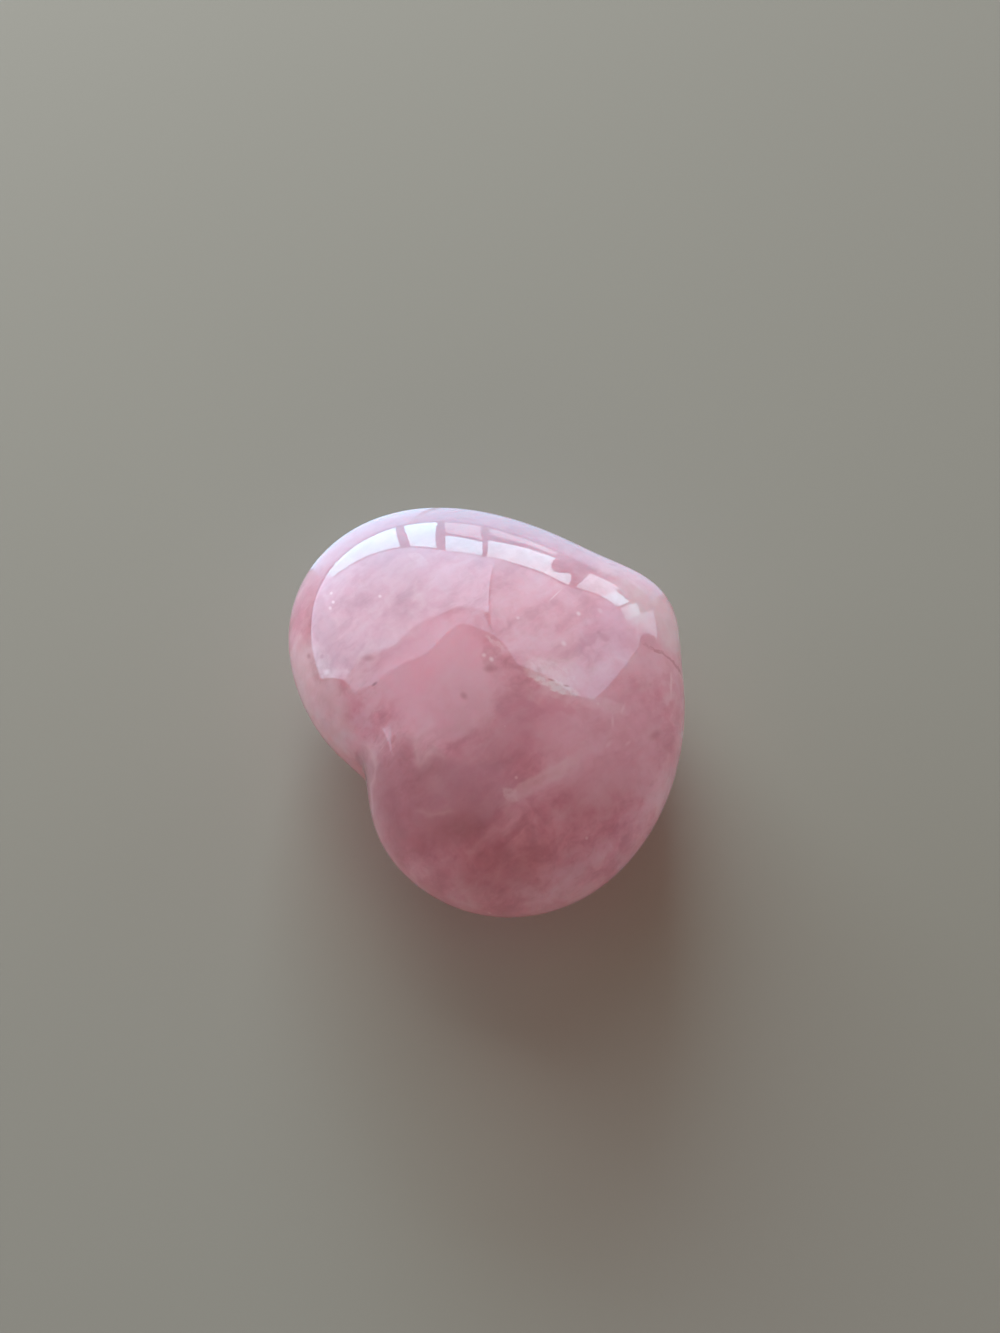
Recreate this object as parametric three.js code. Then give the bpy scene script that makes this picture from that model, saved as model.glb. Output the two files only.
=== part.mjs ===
// A palm-sized rose quartz heart: one tumbled and polished stone, puffy on both faces.
// Millimetres. +X runs across the two lobes, +Y from the point to the cleft, +Z up through
// the stone. The origin lies on the surface that the heart rests on, under the middle of its box.
import * as THREE from 'three';

// Outline, seen from above, as a radius that changes with the angle from the cleft.
const meanRadius = 22.2;
const reachToCleft = 0.25; // slides the outline towards the cleft
const reachAcross = -0.3; // and towards the -X lobe
const widthOverLength = 2.45; // makes it wider than it is long
const threeCorners = 1.2; // pulls out two lobes and one point
const lopsidedness = -0.4; // the hand-cut lobes and flanks don't quite mirror each other

// The cleft between the lobes: a soft notch in the rim that dies out up the dome.
const cleftDepth = 2.6;
const cleftHalfAngle = 0.26;
const cleftSharpness = 1.6; // 1 is a knife cut, 2 a round gutter
const cleftTurn = -0.07; // the notch sits a little off the axis
const cleftFade = 6; // higher dies out sooner

// The blunt point.
const pointLength = 2.1;
const pointHalfAngle = 0.28;
const pointTurn = 0.06;

// The pillow shape through the stone.
const thickness = 22;
const domeFullness = 0.8; // 1 is an ellipse, lower is fuller towards the rim
const flatDepth = 0.15; // ground off underneath, a spot about 10 mm across

// Facets.
const stepsAround = 108;
const ringsUp = 35;

// How far round the outline two directions are apart, from -PI to PI.
function angleBetween(a, b) {
  return Math.atan2(Math.sin(a - b), Math.cos(a - b));
}

// 1 in the direction of centre, falling away smoothly on both sides of it.
function swell(angle, centre, halfAngle, sharpness) {
  const away = Math.abs(angleBetween(angle, centre)) / halfAngle;
  return Math.exp(-(away ** sharpness));
}

// The outline without its cleft.
function plainRadius(angle) {
  return meanRadius
    + reachToCleft * Math.cos(angle)
    + reachAcross * Math.sin(angle)
    - widthOverLength * Math.cos(2 * angle)
    - threeCorners * Math.cos(3 * angle)
    + lopsidedness * Math.sin(3 * angle)
    + pointLength * swell(angle, Math.PI + pointTurn, pointHalfAngle, 2);
}

// A point of the skin. rise goes from -PI/2, underneath, through 0 at the rim to PI/2 on top.
function skinPoint(angle, rise) {
  const spread = Math.cos(rise) ** domeFullness;
  const cleft = cleftDepth * swell(angle, cleftTurn, cleftHalfAngle, cleftSharpness);
  const radius = (plainRadius(angle) - cleft * spread ** cleftFade) * spread;
  return [
    radius * Math.sin(angle),
    radius * Math.cos(angle),
    (thickness / 2) * Math.sin(rise),
  ];
}

// One closed skin: rings from the edge of the flat up to just below the top, and a fan at each end.
function heartGeometry() {
  const flatRise = -Math.asin(1 - flatDepth / (thickness / 2));
  const risePerRing = (Math.PI / 2 - flatRise) / ringsUp;
  const positions = [];
  const triangles = [];

  for (let ring = 0; ring < ringsUp; ring += 1) {
    for (let step = 0; step < stepsAround; step += 1) {
      const angle = (step / stepsAround) * 2 * Math.PI;
      positions.push(...skinPoint(angle, flatRise + ring * risePerRing));
    }
  }
  const bottom = positions.length / 3;
  positions.push(0, 0, (thickness / 2) * Math.sin(flatRise));
  const top = positions.length / 3;
  positions.push(0, 0, thickness / 2);

  for (let step = 0; step < stepsAround; step += 1) {
    const next = (step + 1) % stepsAround;
    const lastRing = (ringsUp - 1) * stepsAround;
    triangles.push(bottom, step, next);
    triangles.push(top, lastRing + next, lastRing + step);
    for (let ring = 0; ring < ringsUp - 1; ring += 1) {
      const low = ring * stepsAround;
      const high = low + stepsAround;
      triangles.push(low + step, high + step, high + next);
      triangles.push(low + step, high + next, low + next);
    }
  }

  const geometry = new THREE.BufferGeometry();
  geometry.setAttribute('position', new THREE.Float32BufferAttribute(positions, 3));
  geometry.setIndex(triangles);
  geometry.computeVertexNormals();
  return geometry;
}

// Stand the stone on z = 0, with the middle of its box over the origin.
function standOnOrigin(geometry) {
  geometry.computeBoundingBox();
  const middle = geometry.boundingBox.getCenter(new THREE.Vector3());
  geometry.translate(-middle.x, -middle.y, -geometry.boundingBox.min.z);
  return geometry;
}

const roseQuartz = new THREE.MeshStandardMaterial({
  color: 0xc98f9f,
  roughness: 0.08,
  metalness: 0,
});

const heart = new THREE.Mesh(standOnOrigin(heartGeometry()), roseQuartz);
heart.name = 'heart';

const group = new THREE.Group();
group.add(heart);

export default group;
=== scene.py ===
import math

import bpy
from mathutils import Matrix, Vector


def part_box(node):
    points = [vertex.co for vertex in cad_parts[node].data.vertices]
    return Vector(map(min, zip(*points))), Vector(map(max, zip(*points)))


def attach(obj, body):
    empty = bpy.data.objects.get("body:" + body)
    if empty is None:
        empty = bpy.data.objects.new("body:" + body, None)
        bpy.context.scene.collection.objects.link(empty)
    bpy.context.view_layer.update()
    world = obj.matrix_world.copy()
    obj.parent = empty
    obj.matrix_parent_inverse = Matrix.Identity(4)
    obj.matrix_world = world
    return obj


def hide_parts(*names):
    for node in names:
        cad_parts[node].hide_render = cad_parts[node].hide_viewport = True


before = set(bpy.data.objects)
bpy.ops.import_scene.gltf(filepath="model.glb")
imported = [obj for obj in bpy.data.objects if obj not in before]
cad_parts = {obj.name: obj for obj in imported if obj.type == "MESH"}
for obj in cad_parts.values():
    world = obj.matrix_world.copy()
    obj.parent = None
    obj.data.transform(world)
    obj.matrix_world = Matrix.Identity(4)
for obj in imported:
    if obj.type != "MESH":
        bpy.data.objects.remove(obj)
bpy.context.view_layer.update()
print("frame loaded")

mm = 0.001


# Formulas written plainly: each step of a sum or a curve becomes one Math node of the tree.
class Field:
    def __init__(self, tree, socket):
        self.tree = tree
        self.socket = socket

    def math(self, operation, *others):
        node = self.tree.nodes.new("ShaderNodeMath")
        node.operation = operation
        for slot, value in zip(node.inputs, (self, *others)):
            plug(self.tree, slot, value)
        return Field(self.tree, node.outputs[0])

    def __add__(self, other):
        return self.math("ADD", other)

    def __sub__(self, other):
        return self.math("SUBTRACT", other)

    def __rsub__(self, other):
        return self.math("MULTIPLY_ADD", -1.0, other)

    def __mul__(self, other):
        return self.math("MULTIPLY", other)

    def __truediv__(self, other):
        return self.math("DIVIDE", other)

    def __pow__(self, other):
        return self.math("POWER", other)

    # 0 below low, 1 above high, and an S-curve between them
    def step(self, low, high):
        node = self.tree.nodes.new("ShaderNodeMapRange")
        node.interpolation_type = "SMOOTHSTEP"
        plug(self.tree, node.inputs["Value"], self)
        node.inputs["From Min"].default_value = low
        node.inputs["From Max"].default_value = high
        return Field(self.tree, node.outputs["Result"])


def plug(tree, slot, value):
    if isinstance(value, Field):
        value = value.socket
    if isinstance(value, bpy.types.NodeSocket):
        tree.links.new(value, slot)
    else:
        slot.default_value = value


def place(tree, kind, settings=None, **inputs):
    node = tree.nodes.new(kind)
    for name, value in (settings or {}).items():
        setattr(node, name, value)
    for name, value in inputs.items():
        plug(tree, node.inputs[name], value)
    return node


def vectorMath(tree, operation, first, second=None, third=None, scale=None):
    node = tree.nodes.new("ShaderNodeVectorMath")
    node.operation = operation
    for slot, value in zip(node.inputs, (first, second, third, scale)):
        if value is not None:
            plug(tree, slot, value)
    return node.outputs[0]


# The stone's shape, in millimetres: the solid's own sizes, then slow waves that the solid leaves out.
heartShape = {
    "Mean Radius": 22.2,
    "Reach To Cleft": 0.25,
    "Reach Across": -0.3,
    "Width Over Length": 2.45,
    "Three Corners": 1.2,
    "Lopsidedness": -0.4,
    "Cleft Depth": 2.6,
    "Cleft Half Angle": 0.26,
    "Cleft Sharpness": 1.6,
    "Cleft Turn": -0.07,
    "Cleft Fade": 6.0,
    "Point Length": 2.1,
    "Point Half Angle": 0.28,
    "Point Turn": 0.06,
    "Thickness": 22.0,
    "Dome Fullness": 0.8,
    "Flat Depth": 0.15,
    "Wave Height": 0.05,  # unevenness left by hand polishing
    "Wave Density": 0.09,  # waves to a millimetre
}
cellsPerSide = 120  # of the six-sided grid that the skin is stretched from
waveDetail = 2.0
waveRoughness = 0.35
seamGap = 0.001  # the six sides are sewn together where their points lie this close


# How far the skin lies from the middle in a direction, at a level that is 1 at the rim and 0 on top.
def skinRadius(size, angle, level):
    def swell(centre, halfAngle, sharpness):
        away = (angle - centre).math("WRAP", math.pi, -math.pi).math("ABSOLUTE") / halfAngle
        return (away ** sharpness * -1).math("EXPONENT")

    point = swell(size["Point Turn"] + math.pi, size["Point Half Angle"], 2.0)
    cleft = swell(size["Cleft Turn"], size["Cleft Half Angle"], size["Cleft Sharpness"])
    plain = (size["Mean Radius"]
             + size["Reach To Cleft"] * angle.math("COSINE")
             + size["Reach Across"] * angle.math("SINE")
             - size["Width Over Length"] * (angle * 2).math("COSINE")
             - size["Three Corners"] * (angle * 3).math("COSINE")
             + size["Lopsidedness"] * (angle * 3).math("SINE")
             + size["Point Length"] * point)
    return (plain - size["Cleft Depth"] * cleft * level ** size["Cleft Fade"]) * level


def heartTree(material):
    tree = bpy.data.node_groups.new("puffyHeart", "GeometryNodeTree")
    tree.interface.new_socket("Geometry", in_out="OUTPUT", socket_type="NodeSocketGeometry")
    for name, value in heartShape.items():
        slot = tree.interface.new_socket(name, in_out="INPUT", socket_type="NodeSocketFloat")
        slot.default_value = value
    given = tree.nodes.new("NodeGroupInput")
    size = {name: Field(tree, given.outputs[name]) for name in heartShape}

    cube = place(tree, "GeometryNodeMeshCube", Size=(2, 2, 2))
    for axis in ("Vertices X", "Vertices Y", "Vertices Z"):
        cube.inputs[axis].default_value = cellsPerSide + 1

    # Blow the cube up into a ball; the tangent first evens out its cells.
    here = place(tree, "GeometryNodeInputPosition").outputs[0]
    spread = vectorMath(tree, "TANGENT", vectorMath(tree, "SCALE", here, scale=math.pi / 4))
    ball = place(tree, "ShaderNodeSeparateXYZ", Vector=vectorMath(tree, "NORMALIZE", spread))
    x, y, z = (Field(tree, out) for out in ball.outputs)

    # Then give each direction of the ball its point on the heart.
    angle = x.math("ARCTAN2", y)
    level = (1 - z * z).math("MAXIMUM", 0.0) ** (size["Dome Fullness"] * 0.5)
    radius = skinRadius(size, angle, level)
    halfThick = size["Thickness"] * 0.5
    skin = place(tree, "ShaderNodeCombineXYZ", X=radius * angle.math("SINE"),
                 Y=radius * angle.math("COSINE"), Z=halfThick * z)
    shaped = place(tree, "GeometryNodeSetPosition", Geometry=cube.outputs["Mesh"],
                   Position=skin.outputs[0])

    # Slow waves in the polish, pushed along the skin's own normal.
    waves = place(tree, "ShaderNodeTexNoise", Scale=size["Wave Density"],
                  Detail=waveDetail, Roughness=waveRoughness)
    push = (Field(tree, waves.outputs["Fac"]) - 0.5) * 2 * size["Wave Height"]
    normal = place(tree, "GeometryNodeInputNormal").outputs[0]
    along = vectorMath(tree, "SCALE", normal, scale=push)
    waved = place(tree, "GeometryNodeSetPosition", Geometry=shaped.outputs[0], Offset=along)

    # The flat ground underneath.
    now = place(tree, "ShaderNodeSeparateXYZ", Vector=place(tree, "GeometryNodeInputPosition").outputs[0])
    lowest = size["Flat Depth"] - halfThick
    ground = place(tree, "ShaderNodeCombineXYZ", X=now.outputs[0], Y=now.outputs[1],
                   Z=Field(tree, now.outputs[2]).math("MAXIMUM", lowest))
    flat = place(tree, "GeometryNodeSetPosition", Geometry=waved.outputs[0], Position=ground.outputs[0])

    smooth = place(tree, "GeometryNodeSetShadeSmooth", Geometry=flat.outputs[0])
    merged = place(tree, "GeometryNodeMergeByDistance", Geometry=smooth.outputs[0], Distance=seamGap)
    real = place(tree, "GeometryNodeRealizeInstances", Geometry=merged.outputs[0])
    dressed = place(tree, "GeometryNodeSetMaterial", Geometry=real.outputs[0], Material=material)
    place(tree, "NodeGroupOutput", Geometry=dressed.outputs[0])
    return tree


# Returns the heart, and where the middle of its formula came to stand.
def buildHeart(material):
    tree = heartTree(material)
    seed = bpy.data.objects.new("heartSeed", bpy.data.meshes.new("heartSeed"))
    bpy.context.scene.collection.objects.link(seed)
    modifier = seed.modifiers.new("puffyHeart", "NODES")
    modifier.node_group = tree
    for item in tree.interface.items_tree:
        if item.in_out == "INPUT":
            modifier[item.identifier] = heartShape[item.name]
    depsgraph = bpy.context.evaluated_depsgraph_get()
    mesh = bpy.data.meshes.new_from_object(seed.evaluated_get(depsgraph))
    bpy.data.objects.remove(seed)
    mesh.name = "roseQuartzHeart"
    mesh.transform(Matrix.Scale(mm, 4))

    # Stand it where the solid stands: the middle of its box over the origin, its flat at z = 0.
    solidLow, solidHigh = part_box("heart")
    low = Vector(min(vertex.co[axis] for vertex in mesh.vertices) for axis in range(3))
    high = Vector(max(vertex.co[axis] for vertex in mesh.vertices) for axis in range(3))
    shift = (solidLow + solidHigh) / 2 - (low + high) / 2
    shift.z = solidLow.z - low.z
    mesh.transform(Matrix.Translation(shift))
    heart = bpy.data.objects.new("roseQuartzHeart", mesh)
    bpy.context.scene.collection.objects.link(heart)
    print("heart built:", len(mesh.polygons), "faces")
    return heart, shift


# Colours are linear. Sizes of patterns are in millimetres. A step gives the value of a noise at which
# something starts and the value at which it is full.
quartzLook = {
    "rose": (0.85, 0.51, 0.63),
    "deepRose": (0.77, 0.41, 0.53),
    "salmon": (0.90, 0.56, 0.70),
    "mauve": (0.68, 0.44, 0.56),
    "shade": (0.60, 0.34, 0.405),
    "dusk": (0.50, 0.28, 0.34),
    "milk": (0.87, 0.60, 0.74),
    "snow": (0.97, 0.80, 0.89),
    # painted light: a glow painted on the thin lower rim, for light passing through the stone there
    "glow": (0.90, 0.47, 0.53),
    # painted shade: the window side is darker and cooler, to hold back the strong window light there and
    # keep its mirrored panes bluish white
    "paintedWindowShade": (0.51, 0.50, 0.66),
    "lightDepth": 0.025,  # how far light wanders inside, in metres
    "lightThrough": (0.46, 0.28, 0.22),  # share of the light that crosses each side of the stone
    "lightTint": (1.0, 0.5, 0.55),  # red wanders furthest
    "ior": 1.55,
    "transmission": 0.18,
    "roughness": 0.012,
    "smearRoughness": 0.02,
    "smearStep": (0.55, 0.75),
    "cloudStep": (0.36, 0.62),
    "wispTurn": -84,  # wisps lie along this direction
    "wispStretch": (3.2, 1, 2),
    "milkAndReflectionBorder": (-0.4, 0.9),  # milk and painted wall reflection start and are full this far beyond their line, in millimetres
    "milkAndReflectionEven": 0.65,  # share of the milk and painted reflection that is even
    "milkAndReflectionMist": 0.7,  # and share that the mist makes thicker or thinner
    "relief": 0.12,  # how much the mist and the wisps show over the clouds
    "reliefContrast": 2.4,
    "veilWidth": 0.06,
    "veilStep": (0.48, 0.62),  # veils lie only in patches: where those start and are full
    "veilStrength": 0.25,
    "scaleSize": 1.5,  # the faint fish-scale mottling
    "scalePatchStep": (0.42, 0.6),
    "scaleDark": ((0.35, 0.75), 0.12),  # where the scales' edges start and are full; strength
    "scalePale": ((0.6, 0.95), 0.10),  # the same for their middles
    "gritStep": (0.36, 0.56),
    "gritShare": 0.6,  # how much of a flaw the grit can take away
    "borderBend": (0.2, 3.0, 0.65, 2.6),  # density, detail, roughness; how far borders stray
    "flawFray": (0.9, 2.0, 0.7, 1.1),  # the same for the edges of flaws
    "glowTop": 14.0,  # the rim is painted with a glow, for light through the thin stone, up to this height
    "glowFull": 9.0,  # and most of it below this one
    "glowStrength": 0.6,
    "paintedWindowShadeTurn": -122.4,  # the painted shade lies on the window side, to the left of this direction
    "paintedWindowShadeFrom": 2.0,  # it starts this far from the middle
    "paintedWindowShadeTo": 19.0,
    "paintedWindowShadeStrength": 0.9,
}

# Noises inside the stone: size in millimetres, detail and roughness.
noises = {
    "clouds": (12.0, 3.0, 0.55),
    "mist": (4.0, 4.0, 0.65),
    "wisps": (2.2, 4.0, 0.6),
    "grain": (1.1, 2.0, 0.6),
    "veils": (9.0, 2.0, 0.45),
    "veilPatches": (11.0, 2.0, 0.5),
    "scalePatches": (9.0, 2.0, 0.5),
    "grit": (0.8, 3.0, 0.7),
    "smears": (7.0, 2.0, 0.6),
}

# Layers over the body's base colour, in order: the noise that each one reads, at its high or its low
# side, where the layer starts and where it is full, its tint and its strength.
layers = {
    "paleMist": ("mist", "high", (0.44, 0.70), "milk", 0.6),
    "darkMist": ("mist", "low", (0.48, 0.70), "shade", 0.55),
    "paleWisps": ("wisps", "high", (0.5, 0.70), "milk", 0.65),
    "darkWisps": ("wisps", "low", (0.5, 0.70), "shade", 0.6),
    "paleGrain": ("grain", "high", (0.5, 0.75), "milk", 0.28),
    "darkGrain": ("grain", "low", (0.5, 0.75), "shade", 0.3),
}

# Milk fills the stone to the left of each of these lines, partly the stone's own and partly a painted
# reflection of the pale wall, whose mirrored border they follow: strength, a point on it, its turn about
# Z.
milkAndPaintedReflectionLines = {
    "lobe": (0.08, (3.7, 13.6, 0), -87.3),
    "shoulder": (0.22, (-6.4, -1.4, 0), -155.4),
}

# Clouds inside the stone, with patches of painted shade and painted light where marked: tint, strength,
# middle and half sizes in mm, turn about Z in degrees.
clouds = {
    "salmonHeart": ("salmon", 1.0, (0.4, 7.8, 21.2), (8, 9, 6), -100),
    "deepPatch": ("deepRose", 0.8, (-9.2, 2.2, 21.5), (4.8, 4.2, 6), -100),
    "deepShoulder": ("deepRose", 0.6, (-10.2, 8.4, 21), (6, 4, 6), -100),
    # painted shade: darker by the cleft between the lobes
    "paintedShadeByCleft": ("dusk", 0.75, (-9.5, 15.8, 18.5), (10, 5.5, 8), -137),
    "mauveMiddle": ("mauve", 0.5, (-11.9, 11.0, 20), (6, 4, 6), -110),
    "lowPatchLeft": ("shade", 0.5, (-12.9, 15.6, 17.6), (4.5, 2.2, 5), -122),
    "lowPatchMiddle": ("shade", 0.45, (-19.2, 13.0, 16.5), (5, 3, 5), -122),
    "lowPatchRight": ("shade", 0.4, (-18.2, 0.4, 18.7), (6, 3.2, 5), -100),
    "rightMilk": ("milk", 0.6, (-14.6, -3.6, 19.4), (9, 8, 6), -122),
    "rightMist": ("milk", 0.45, (-7.0, -12.5, 19), (6, 5, 5), -150),
    "rightEnd": ("snow", 0.65, (-4.5, -16.8, 16.5), (7, 4, 7), -140),
    # paler left flank: partly milky quartz, partly painted light falling from the left
    "leftFlankMilkAndPaintedLight": ("snow", 0.6, (6.8, 18.8, 14.5), (9, 4, 7), 171),
    "flankBand": ("dusk", 0.35, (13.8, 14.4, 17.8), (6, 1.5, 4), 171),
    "longVeil": ("milk", 0.3, (-15.7, 5.8, 19.5), (11, 1.3, 6), -84),
    "veeLong": ("snow", 0.4, (-14.5, 4.8, 20.1), (5.5, 1.0, 3), -86),
    # painted shade: darker on the lip of the cleft
    "paintedShadeOnCleftLip": ("dusk", 0.65, (-7.0, 19.2, 15.0), (8.5, 2.8, 6), 165),
    # painted shade: darker along the low rim near the floor
    "paintedShadeOnLowRim": ("shade", 0.25, (-15.0, 18.8, 13.5), (10, 4.5, 6), 26),
    "lobeDusk": ("dusk", 0.4, (12.8, 9.5, 18.5), (11, 11, 8), 0),
    "lobeBright": ("milk", 0.2, (9.5, 10.5, 20), (4.5, 3.0, 5), -83),
}

# Flaws with frayed edges, in the same terms; two dark lines among them are a painted reflection edge.
flaws = {
    "veeShort": ("snow", 0.5, (-14.2, 8.3, 20.1), (1.2, 0.6, 2), -156),
    "crackCloud": ("snow", 0.55, (-5.9, -2.1, 21.4), (3.7, 1.8, 3), -141),
    "crackFar": ("snow", 0.3, (-11.1, -4.9, 20.2), (3.4, 1.0, 3), -130),
    "crackShade": ("deepRose", 0.6, (-8.6, -0.3, 21.2), (3.4, 0.8, 2), -143),
    "crackCore": ("snow", 1.0, (-7.1, -1.6, 21.3), (3.6, 0.65, 1.5), -143),
    # painted reflection: dark lines along the lower edge of the pale wall's mirror image at the right end
    "paintedReflectionEdge": ("shade", 0.7, (-8.0, -14.0, 17.5), (2.4, 0.3, 2.4), -130),
    "paintedReflectionEdgeLow": ("shade", 0.8, (-9.7, -15.6, 14.9), (2.4, 0.3, 3), -145),
    "hook": ("snow", 0.5, (0.0, 1.1, 21.8), (1.6, 0.35, 1), -161),
    # painted shade around the pit
    "pitShade": ("shade", 0.35, (-1.3, 2.2, 21.8), (1.7, 1.4, 1), 0),
    "sparkle": ("snow", 0.3, (13.4, 2.3, 20.5), (1.9, 0.7, 1), -162),
    "clusterRing": ("dusk", 0.4, (9.5, 16.8, 17.4), (2.3, 2.2, 2.6), 0),
}

# Specks, streaks, a painted pit and a painted edge highlight, with exact places.
marks = {
    # painted pit: its dark hollow is painted shade and its two glints are painted highlights
    "paintedPitHollow": ("shade", 0.75, (-2.1, 3.1, 21.8), (1.0, 0.7, 1), -124),
    "pitGlint": ("snow", 0.9, (-0.5, 2.8, 21.8), (0.35, 0.35, 1), 0),
    "pitGlintLow": ("snow", 1.0, (-1.3, 2.4, 21.8), (0.45, 0.35, 1), 0),
    "crackGrain": ("shade", 0.8, (-6.4, -1.6, 21.5), (0.6, 0.2, 1), -136),
    "crackGrainFar": ("shade", 0.8, (-7.7, -2.6, 21.3), (0.5, 0.18, 1), -129),
    "streak": ("snow", 0.8, (1.7, -7.4, 21.0), (1.6, 0.13, 1), -72),
    # painted highlight: a thin bright line down the right flank
    "paintedEdgeHighlight": ("snow", 0.6, (-11.6, -13.6, 16.0), (2.2, 0.22, 2.4), 144),
    "dotOne": ("snow", 0.7, (1.3, -2.5, 21.7), (0.3, 0.3, 1), 0),
    "dotTwo": ("snow", 1.0, (-1.4, -8.3, 21.0), (0.4, 0.35, 1), 0),
    "dotThree": ("snow", 0.8, (-3.6, -5.0, 21.4), (0.5, 0.4, 1), 0),
    "dotFour": ("snow", 0.5, (-2.1, -10.6, 20.4), (0.5, 0.4, 1), 0),
    "fleckOne": ("snow", 0.5, (-13.0, -4.8, 19.7), (0.9, 0.24, 1), 146),
    "fleckTwo": ("snow", 0.5, (-12.3, -6.6, 19.5), (0.8, 0.24, 1), -56),
    "fleckThree": ("snow", 0.4, (-14.8, -3.1, 19.5), (0.7, 0.3, 1), -70),
    "fleckFour": ("snow", 0.4, (-15.5, -5.1, 18.7), (0.65, 0.25, 1), -80),
    "moteOne": ("shade", 0.8, (6.3, 12.7, 20.2), (1.1, 0.55, 1), -131),
    "moteTwo": ("dusk", 1.0, (3.5, 13.6, 20.0), (0.5, 0.24, 1), -93),
    "moteThree": ("shade", 0.65, (-15.8, -8.5, 17.0), (1.5, 0.6, 1.5), -84),
    "moteFour": ("shade", 0.6, (-3.2, 6.9, 21.7), (0.7, 0.5, 1), -176),
    "moteFive": ("shade", 0.7, (-4.2, -9.0, 20.6), (0.4, 0.35, 1), 0),
    "clusterCore": ("snow", 0.8, (8.4, 16.8, 17.7), (0.6, 0.45, 1), -141),
    "clusterGrain": ("dusk", 0.6, (10.2, 16.3, 17.7), (0.5, 0.35, 1), 0),
    "clusterGrainFar": ("dusk", 0.6, (11.6, 17.3, 16.4), (0.5, 0.35, 1), 0),
    "lobeSpeckOne": ("snow", 0.8, (15.9, 11.9, 18.5), (0.3, 0.25, 0.6), 0),
    "lobeSpeckTwo": ("snow", 0.8, (14.7, 12.3, 18.8), (0.35, 0.25, 0.6), 0),
    "lobeSpeckThree": ("snow", 0.6, (14.3, 12.9, 18.6), (0.4, 0.25, 0.6), 0),
    "lobeSpeckFour": ("snow", 0.7, (11.7, 8.1, 20.6), (0.3, 0.25, 0.6), 0),
}

# Scattered specks, one to a cell at most: tint, strength, whether they lie in plain or in bent space,
# the cell's size, how near its middle they start and are full, and which cells hold one.
specks = {
    "pale": ("snow", 0.6, "plain", 2.6, (0.90, 0.95), (0.82, 0.84)),
    "dark": ("shade", 0.5, "bent", 4.42, (0.84, 0.93), (0.80, 0.82)),
}


def noise(tree, where, name):
    size, detail, roughness = noises[name]
    node = place(tree, "ShaderNodeTexNoise", Vector=where, Scale=1 / size,
                 Detail=detail, Roughness=roughness)
    return Field(tree, node.outputs["Fac"])


# How far each place lies from the middle of its cell, and a number of the cell's own.
def cells(tree, where, size):
    node = place(tree, "ShaderNodeTexVoronoi", Vector=where, Scale=1 / size)
    own = place(tree, "ShaderNodeSeparateColor", Color=node.outputs["Color"])
    return Field(tree, node.outputs["Distance"]), Field(tree, own.outputs[0])


# The same place in a frame of its own, centred on middle, turned about Z and shrunk by size.
def ownFrame(tree, where, middle, turn, size=(1, 1, 1)):
    node = place(tree, "ShaderNodeMapping", {"vector_type": "TEXTURE"}, Vector=where)
    node.inputs["Location"].default_value = middle
    node.inputs["Rotation"].default_value = (0, 0, math.radians(turn))
    node.inputs["Scale"].default_value = size
    return node.outputs[0]


# A cloud or a flaw is full from this share of the way in; a mark is full only near its middle.
cloudFull = 0.45
markFull = 0.9


# A soft ellipsoid: 0 at its surface and outside, 1 where it is full.
def blob(tree, where, middle, halfSizes, turn, full):
    inside = ownFrame(tree, where, middle, turn, halfSizes)
    ball = place(tree, "ShaderNodeTexGradient", {"gradient_type": "SPHERICAL"}, Vector=inside)
    return Field(tree, ball.outputs["Fac"]).step(0.0, full)


# How far a place lies to the left of a line.
def beyond(tree, where, point, turn):
    parts = place(tree, "ShaderNodeSeparateXYZ", Vector=ownFrame(tree, where, point, turn))
    return Field(tree, parts.outputs[1])


def tinted(tree, factor, first, second):
    node = place(tree, "ShaderNodeMix", {"data_type": "RGBA"})
    plug(tree, node.inputs[0], factor)
    for slot, colour in ((node.inputs[6], first), (node.inputs[7], second)):
        plug(tree, slot, (*quartzLook[colour], 1) if isinstance(colour, str) else colour)
    return node.outputs[2]


# The same places, strayed by a noise.
def strayed(tree, where, density, detail, roughness, reach):
    stray = place(tree, "ShaderNodeTexNoise", Vector=where, Scale=density,
                  Detail=detail, Roughness=roughness)
    centred = vectorMath(tree, "SUBTRACT", stray.outputs["Color"], (0.5, 0.5, 0.5))
    return vectorMath(tree, "MULTIPLY_ADD", centred, (reach, reach, reach), where)


# Milk, partly a painted reflection of the pale wall, to the left of its lines.
def milkAndPaintedReflection(tree, bent, mist, colour):
    look = quartzLook
    lobe, shoulder = (
        beyond(tree, bent, point, turn).step(*look["milkAndReflectionBorder"]) * strength
        for strength, point, turn in milkAndPaintedReflectionLines.values())
    milk = lobe.math("MAXIMUM", shoulder) * (mist * look["milkAndReflectionMist"] + look["milkAndReflectionEven"])
    return tinted(tree, milk, colour, "milk")


# Thin sheets where a slow noise passes through its middle value, in patches.
def veilColour(tree, plain, bent, colour):
    look = quartzLook
    away = (noise(tree, bent, "veils") - 0.5).math("ABSOLUTE") / look["veilWidth"]
    sheet = 1 - away.math("MINIMUM", 1.0)
    patch = noise(tree, plain, "veilPatches").step(*look["veilStep"])
    return tinted(tree, sheet * sheet * patch * look["veilStrength"], colour, "snow")


# Fish-scale mottling in patches.
def scaleColour(tree, plain, bent, colour):
    look = quartzLook
    away = cells(tree, bent, look["scaleSize"])[0]
    patch = noise(tree, plain, "scalePatches").step(*look["scalePatchStep"])
    edges, strength = look["scaleDark"]
    colour = tinted(tree, away.step(*edges) * patch * strength, colour, "shade")
    middles, strength = look["scalePale"]
    return tinted(tree, (1 - away).step(*middles) * patch * strength, colour, "milk")


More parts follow.
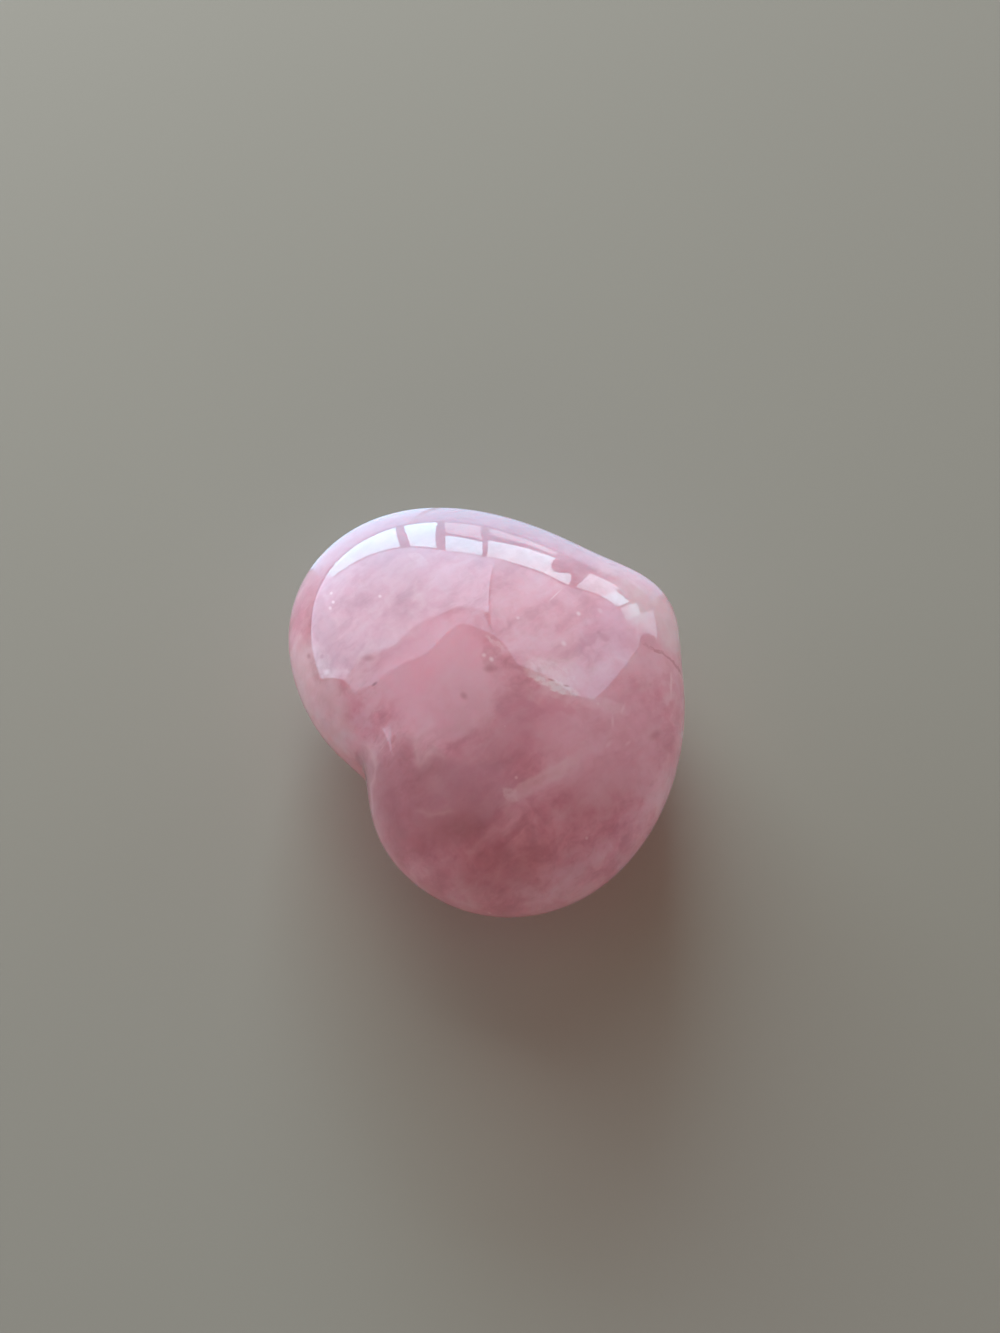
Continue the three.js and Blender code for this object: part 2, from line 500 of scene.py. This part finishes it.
# The body: slow clouds under finer mist, wisps that all lie one way, and grain.
def bodyColour(tree, plain, bent):
    look = quartzLook
    lying = ownFrame(tree, bent, (0, 0, 0), look["wispTurn"], look["wispStretch"])
    fields = {
        "mist": noise(tree, bent, "mist"),
        "wisps": noise(tree, lying, "wisps"),
        "grain": noise(tree, bent, "grain"),
    }
    colour = tinted(tree, noise(tree, bent, "clouds").step(*look["cloudStep"]), "deepRose", "rose")
    for source, side, (start, full), tint, strength in layers.values():
        field = fields[source] if side == "high" else 1 - fields[source]
        colour = tinted(tree, field.step(start, full) * strength, colour, tint)
    colour = milkAndPaintedReflection(tree, bent, fields["mist"], colour)
    for tint, strength, middle, halfSizes, turn in clouds.values():
        cloud = blob(tree, bent, middle, halfSizes, turn, cloudFull)
        colour = tinted(tree, cloud * strength, colour, tint)

    # The same mist and wisps again, as light and dark over the clouds.
    both = fields["mist"] + fields["wisps"] - 1
    relief = place(tree, "ShaderNodeMix", {"data_type": "RGBA", "blend_type": "SOFT_LIGHT"},
                   Factor=look["relief"])
    plug(tree, relief.inputs[6], colour)
    plug(tree, relief.inputs[7], both * look["reliefContrast"] + 0.5)
    colour = veilColour(tree, plain, bent, relief.outputs[2])
    return scaleColour(tree, plain, bent, colour)


# Flaws, broken up by a fine noise, then marks and scattered specks.
def flawColour(tree, plain, bent, colour):
    look = quartzLook
    grit = noise(tree, plain, "grit").step(*look["gritStep"])
    left = grit * look["gritShare"] + (1 - look["gritShare"])
    edges = strayed(tree, plain, *look["flawFray"])
    for tint, strength, middle, halfSizes, turn in flaws.values():
        flaw = blob(tree, edges, middle, halfSizes, turn, cloudFull)
        colour = tinted(tree, flaw * left * strength, colour, tint)
    for tint, strength, middle, halfSizes, turn in marks.values():
        mark = blob(tree, plain, middle, halfSizes, turn, markFull)
        colour = tinted(tree, mark * strength, colour, tint)
    for tint, strength, space, size, near, held in specks.values():
        away, own = cells(tree, plain if space == "plain" else bent, size)
        colour = tinted(tree, (1 - away).step(*near) * own.step(*held) * strength, colour, tint)
    return colour


# Painted light and shade: a glow painted on the thin rim, for light that passes through it, and painted
# shade that darkens and cools the window side of the stone.
def paintedRimGlowAndWindowShade(tree, plain, bent, colour):
    look = quartzLook
    height = Field(tree, place(tree, "ShaderNodeSeparateXYZ", Vector=plain).outputs[2])
    # painted glow on the thin rim, below a height
    paintedGlowMask = (height * -1).step(-look["glowTop"], -look["glowFull"])
    colour = tinted(tree, paintedGlowMask * look["glowStrength"], colour, "glow")
    # painted shade: darker and cooler towards the window side
    away = beyond(tree, bent, (0, 0, 0), look["paintedWindowShadeTurn"])
    windowShadeMask = away.step(look["paintedWindowShadeFrom"], look["paintedWindowShadeTo"])
    return tinted(tree, windowShadeMask * look["paintedWindowShadeStrength"], colour, "paintedWindowShade")


def quartzMaterial():
    look = quartzLook
    material = bpy.data.materials.new("roseQuartz")
    material.use_nodes = True
    tree = material.node_tree
    tree.nodes.clear()
    surface = place(tree, "ShaderNodeBsdfPrincipled", {"subsurface_method": "RANDOM_WALK"})
    surface.inputs["IOR"].default_value = look["ior"]
    surface.inputs["Subsurface Weight"].default_value = 1.0
    surface.inputs["Subsurface Radius"].default_value = look["lightTint"]
    surface.inputs["Subsurface Scale"].default_value = look["lightDepth"]
    surface.inputs["Transmission Weight"].default_value = look["transmission"]

    # Part of the light that meets the stone goes on through it, tinted, and softens its shadow.
    path = place(tree, "ShaderNodeLightPath")
    clear = place(tree, "ShaderNodeBsdfTransparent", Color=(*look["lightThrough"], 1))
    both = place(tree, "ShaderNodeMixShader", Fac=path.outputs["Is Shadow Ray"])
    tree.links.new(surface.outputs[0], both.inputs[1])
    tree.links.new(clear.outputs[0], both.inputs[2])
    place(tree, "ShaderNodeOutputMaterial", Surface=both.outputs[0])

    # Object coordinates in millimetres, plain and bent, so that no border in the stone is straight.
    own = place(tree, "ShaderNodeTexCoord")
    scaled = place(tree, "ShaderNodeMapping", Vector=own.outputs["Object"])
    scaled.inputs["Scale"].default_value = (1 / mm, 1 / mm, 1 / mm)
    plain = scaled.outputs[0]
    bent = strayed(tree, plain, *look["borderBend"])

    colour = bodyColour(tree, plain, bent)
    colour = flawColour(tree, plain, bent, colour)
    colour = paintedRimGlowAndWindowShade(tree, plain, bent, colour)
    tree.links.new(colour, surface.inputs["Base Color"])
    smear = noise(tree, bent, "smears").step(*look["smearStep"])
    plug(tree, surface.inputs["Roughness"], smear * look["smearRoughness"] + look["roughness"])
    print("quartz mixed:", len(tree.nodes), "nodes")
    return material


# The camera, as the photo was taken: pixels are those of its 1000 by 1333 frame.
photoView = {
    "width": 1000,
    "height": 1333,
    "turn": 122.4,  # degrees that the stone is turned in the picture
    "elevation": 65.0,
    "distance": 0.15366,
    "focalPixels": 1400.0,
    "middleAcross": 488.4,  # where the middle of the stone falls
    "middleDown": 692.0,
    "sensorWidth": 36,
    "nearest": 0.005,
}


# To the right in the picture, straight ahead over the table, and along the line of sight.
def viewAxes():
    turn = math.radians(-photoView["turn"])
    tilt = math.radians(photoView["elevation"])
    right = Vector((math.cos(turn), math.sin(turn), 0))
    ahead = Vector((-math.sin(turn), math.cos(turn), 0))
    forward = ahead * math.cos(tilt) - Vector((0, 0, math.sin(tilt)))
    return right, ahead, forward


def addCamera(stoneMiddle):
    right, ahead, forward = viewAxes()
    up = right.cross(forward)
    metresPerPixel = photoView["distance"] / photoView["focalPixels"]
    across = (photoView["middleAcross"] - photoView["width"] / 2) * metresPerPixel
    rise = (photoView["height"] / 2 - photoView["middleDown"]) * metresPerPixel
    target = stoneMiddle - right * across - up * rise
    data = bpy.data.cameras.new("photoCamera")
    data.sensor_width = photoView["sensorWidth"]
    data.lens = photoView["focalPixels"] / photoView["height"] * data.sensor_width
    data.clip_start = photoView["nearest"]
    camera = bpy.data.objects.new("photoCamera", data)
    bpy.context.scene.collection.objects.link(camera)
    camera.location = target - forward * photoView["distance"]
    camera.rotation_mode = "QUATERNION"
    camera.rotation_quaternion = forward.to_track_quat("-Z", "Y")
    bpy.context.scene.camera = camera


# Daylight, as panels that light the stone and aren't mirrored in it: the direction that each one's
# wall faces, where it hangs in degrees to the right of straight ahead and above the stone, its
# brightness and its colour.
wallDistance = 0.60
panels = {
    "dayLeft": (22, (-42, -14), (15, 31), 15.0, (0.88, 0.96, 0.90)),
    "dayMiddle": (22, (-14, 6), (15, 31), 19.0, (0.94, 1.0, 1.0)),
    "dayHigh": (22, (-42, 10), (33, 58), 3.6, (0.95, 0.85, 0.80)),
    "dayRight": (22, (30, 54), (2, 15), 6.0, (0.98, 0.86, 0.72)),
    "wallRight": (78, (57, 100), (2, 15), 3.1, (0.98, 0.96, 1.0)),
    "wallBehind": (180, (150, 210), (15, 31), 1.1, (1.0, 0.95, 0.75)),
    "wallLeft": (-60, (-88, -40), (1, 18), 5.4, (0.97, 0.93, 1.0)),
}
ceiling = {"height": 0.6, "side": 0.6, "radiance": 0.35, "colour": (1.0, 0.86, 0.66)}

# What the polish mirrors: a window and pale walls, as patches of a wide dome around the stone. Each
# has a tone, its lower edge and its upper edge, both as points from left to right, in degrees to the
# right of straight ahead and above the stone.
roomRadius = 3.0
cellsAcross = 8  # a patch is cut into cells, so that it follows the dome
glareHeight = 0.0004  # patches below the horizon lie just above the floor: the window's glare on it
roomTones = {
    "sky": (6.8, (0.45, 0.90, 1.0)),
    "haze": (6.0, (0.55, 0.92, 1.0)),
    "streaked": (4.2, (0.60, 0.90, 1.0)),
    "dim": (2.2, (0.76, 0.91, 1.0)),
    "wallNear": (4.3, (0.56, 0.78, 1.0)),
    "wallEdge": (2.1, (0.60, 0.78, 1.0)),
    "wallFar": (2.3, (0.62, 0.80, 1.0)),
    "wallFaint": (2.6, (0.50, 0.72, 1.0)),
    "glare": (1.4, (0.55, 0.78, 1.0)),
    "glareFaint": (0.9, (0.60, 0.78, 1.0)),
}
room = {
    "paneLeft": (
        "sky",
        ((-45, 0.5), (-38, 0.5), (-31, 0.5), (-23, 0.5), (-15.2, 0.5)),
        ((-45.3, 7.5), (-38.5, 13.5), (-31.6, 17.5), (-24.8, 20.3), (-18, 22.5))),
    "paneNarrow": ("sky", ((-12.9, 0.5), (-4.6, 0.5)), ((-15, 23.9), (-8, 27.0))),
    "paneMiddle": ("sky", ((-3.9, 16.5), (4.6, 18.5)), ((-5.8, 29.0), (4.0, 29.5))),
    "paneMiddleLow": ("dim", ((-3.0, 0.5), (5.0, 0.5)), ((-3.7, 14), (4.5, 16))),
    "paneRight": (
        "haze",
        ((5.9, 15), (9.2, 14), (13.6, 11.5), (17.0, 9.5)),
        ((5.3, 29.6), (11.3, 29.0), (14, 28.3), (16, 27.8))),
    "paneRightLow": ("dim", ((6.5, 0.5), (17, 0.5)), ((6.5, 9), (17, 6))),
    "paneFarRight": (
        "streaked",
        ((18.6, 8), (27, 11), (33, 13)),
        ((17.8, 28.0), (27, 29.3), (32.6, 30.5))),
    "paneEnd": ("sky", ((33, 19), (46, 20)), ((32.6, 30.5), (45.8, 30.8))),
    "paneBeyond": ("streaked", ((48.5, 15), (58, 16)), ((47.5, 29.5), (57, 29.5))),
    "wallNearLeft": (
        "wallNear",
        ((-89, 1), (-83, 1), (-75, 1), (-61, 1), (-50, 1), (-44, 1)),
        ((-89, 25), (-83, 34), (-75, 42), (-61, 54), (-50, 57), (-44, 57))),
    "wallOverPanes": (
        "wallNear",
        ((-44, 10), (-34, 17.5), (-23, 22), (-17, 24), (-7, 28.5), (-2, 30), (3, 30.3), (8, 30)),
        ((-44, 57), (-34, 57), (-23, 56.5), (-17, 57), (-7, 55.5), (-2, 56), (1, 56.5), (2.5, 56.5))),
    "wallEdge": (
        "wallEdge",
        ((-89, 25), (-86, 30), (-83, 34), (-75, 42), (-61, 54), (-50, 57),
         (-38, 57), (-28, 56.5), (-18, 57), (-11, 56.5), (-6, 55.5), (1, 56.5)),
        ((-94, 27), (-91, 32), (-89, 37), (-84, 46), (-68, 58), (-50, 63.5),
         (-38, 65), (-27, 64), (-16, 62), (-8, 60), (-3, 61), (2, 62))),
    "wallRight": (
        "wallFar",
        ((8, 30), (12, 30), (18, 29.5), (27, 30.5), (36, 32)),
        ((2, 62), (11, 66), (23, 66), (35, 65), (44, 63.5))),
    "wallRightEnd": ("wallFaint", ((36, 32), (48, 31), (60, 30)), ((44, 63.5), (55, 60.5), (64.5, 54))),
    "glareLeft": ("glare", ((-47, -17), (-30, -17), (-12, -17)), ((-47, -1), (-30, -1), (-12, -1))),
    "glareRight": (
        "glareFaint",
        ((-10, -17), (5, -17), (25, -17), (50, -17)),
        ((-10, -1), (5, -1), (25, -1), (50, -1))),
    "wallBesideEnd": ("wallFar", ((56, 1), (63, 1)), ((56, 30), (60, 30))),
}


def addLight(name, width, height, radiance, colour):
    data = bpy.data.lights.new(name, "AREA")
    data.shape = "RECTANGLE"
    data.size = width
    data.size_y = height
    data.energy = radiance * width * height * math.pi
    data.color = colour
    light = bpy.data.objects.new(name, data)
    light.visible_camera = False
    light.visible_glossy = False
    bpy.context.scene.collection.objects.link(light)
    return light


def addPanel(name, stoneMiddle, facing, across, rise, radiance, colour):
    right, ahead, forward = viewAxes()
    turn = math.radians(facing)
    outward = ahead * math.cos(turn) + right * math.sin(turn)
    along = right * math.cos(turn) - ahead * math.sin(turn)
    left, far = (wallDistance * math.tan(math.radians(side) - turn) for side in across)
    bottom, top = (wallDistance * math.tan(math.radians(side)) for side in rise)
    light = addLight(name, far - left, top - bottom, radiance, colour)
    light.location = stoneMiddle + outward * wallDistance + along * (left + far) / 2
    light.location.z = stoneMiddle.z + (bottom + top) / 2
    light.rotation_mode = "QUATERNION"
    light.rotation_quaternion = (-outward).to_track_quat("-Z", "Y")


def addLights(stoneMiddle):
    for name, panel in panels.items():
        addPanel(name, stoneMiddle, *panel)
    side = ceiling["side"]
    light = addLight("ceiling", side, side, ceiling["radiance"], ceiling["colour"])
    light.location = stoneMiddle + Vector((0, 0, ceiling["height"]))


def lightTone(name, radiance, colour):
    material = bpy.data.materials.new(name)
    material.use_nodes = True
    material.cycles.emission_sampling = "NONE"  # it only shows in reflections
    tree = material.node_tree
    tree.nodes.clear()
    glow = place(tree, "ShaderNodeEmission", Color=(*colour, 1), Strength=radiance)
    place(tree, "ShaderNodeOutputMaterial", Surface=glow.outputs[0])
    return material


# Where a sight line from the stone, given by its degrees across and above, meets its patch.
def placeOnRoom(stoneMiddle, across, rise):
    right, ahead, forward = viewAxes()
    level = ahead * math.cos(across) + right * math.sin(across)
    sight = level * math.cos(rise) + Vector((0, 0, math.sin(rise)))
    reach = (stoneMiddle.z - glareHeight) / -sight.z if rise < 0 else roomRadius
    return stoneMiddle + sight * reach


def patchCells(stoneMiddle, lower, upper):
    steps = cellsAcross
    points, faces = [], []
    for low, nextLow, high, nextHigh in zip(lower, lower[1:], upper, upper[1:]):
        first = len(points)
        for row in range(steps + 1):
            left = Vector(low).lerp(Vector(high), row / steps)
            far = Vector(nextLow).lerp(Vector(nextHigh), row / steps)
            for column in range(steps + 1):
                across, rise = (math.radians(value) for value in left.lerp(far, column / steps))
                points.append(placeOnRoom(stoneMiddle, across, rise))
                if row and column:
                    here = first + row * (steps + 1) + column
                    faces.append((here - steps - 2, here - steps - 1, here, here - 1))
    return points, faces


def addMirroredRoom(stoneMiddle):
    mesh = bpy.data.meshes.new("mirroredRoom")
    points, faces, tones = [], [], []
    for tone, lower, upper in room.values():
        morePoints, moreFaces = patchCells(stoneMiddle, lower, upper)
        faces += [[index + len(points) for index in face] for face in moreFaces]
        tones += [list(roomTones).index(tone)] * len(moreFaces)
        points += morePoints
    mesh.from_pydata(points, [], faces)
    for name, (radiance, colour) in roomTones.items():
        mesh.materials.append(lightTone(name, radiance, colour))
    mesh.polygons.foreach_set("material_index", tones)
    walls = bpy.data.objects.new("mirroredRoom", mesh)
    bpy.context.scene.collection.objects.link(walls)
    walls.visible_camera = False  # it shows in reflections alone
    walls.visible_diffuse = False
    walls.visible_shadow = False


floorLook = {
    "halfSize": 0.55,
    "colour": (0.372, 0.378, 0.355),
    "roughness": 0.8,
    "gloss": 0.0,
}


def addFloor():
    half = floorLook["halfSize"]
    corners = [(-half, -half, 0), (half, -half, 0), (half, half, 0), (-half, half, 0)]
    mesh = bpy.data.meshes.new("floor")
    mesh.from_pydata(corners, [], [(0, 1, 2, 3)])
    floor = bpy.data.objects.new("floor", mesh)
    bpy.context.scene.collection.objects.link(floor)
    material = bpy.data.materials.new("paleGrey")
    material.use_nodes = True
    surface = material.node_tree.nodes["Principled BSDF"]
    surface.inputs["Base Color"].default_value = (*floorLook["colour"], 1)
    surface.inputs["Roughness"].default_value = floorLook["roughness"]
    surface.inputs["Specular IOR Level"].default_value = floorLook["gloss"]
    floor.data.materials.append(material)


# A dim warm room; only the camera sees its pale backdrop. Both have a colour and a brightness.
roomLight = {
    "dim": ((1.0, 0.80, 0.70), 0.03),
    "backdrop": ((0.42, 0.41, 0.40), 1.0),
}


def addRoom():
    world = bpy.data.worlds.new("softRoom")
    world.use_nodes = True
    world.cycles.sampling_method = "NONE"  # it is too dim to be searched for light
    tree = world.node_tree
    tree.nodes.clear()
    dim, backdrop = (
        place(tree, "ShaderNodeBackground", Color=(*colour, 1), Strength=strength)
        for colour, strength in roomLight.values())
    path = place(tree, "ShaderNodeLightPath")
    both = place(tree, "ShaderNodeMixShader", Fac=path.outputs["Is Camera Ray"])
    tree.links.new(dim.outputs[0], both.inputs[1])
    tree.links.new(backdrop.outputs[0], both.inputs[2])
    place(tree, "ShaderNodeOutputWorld", Surface=both.outputs[0])
    bpy.context.scene.world = world
    bpy.context.scene.view_settings.view_transform = "Standard"


quartz = quartzMaterial()
heart, stoneMiddle = buildHeart(quartz)
addCamera(stoneMiddle)
addLights(stoneMiddle)
addMirroredRoom(stoneMiddle)
addFloor()
addRoom()
print("stage set")

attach(heart, "root")
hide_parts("heart")
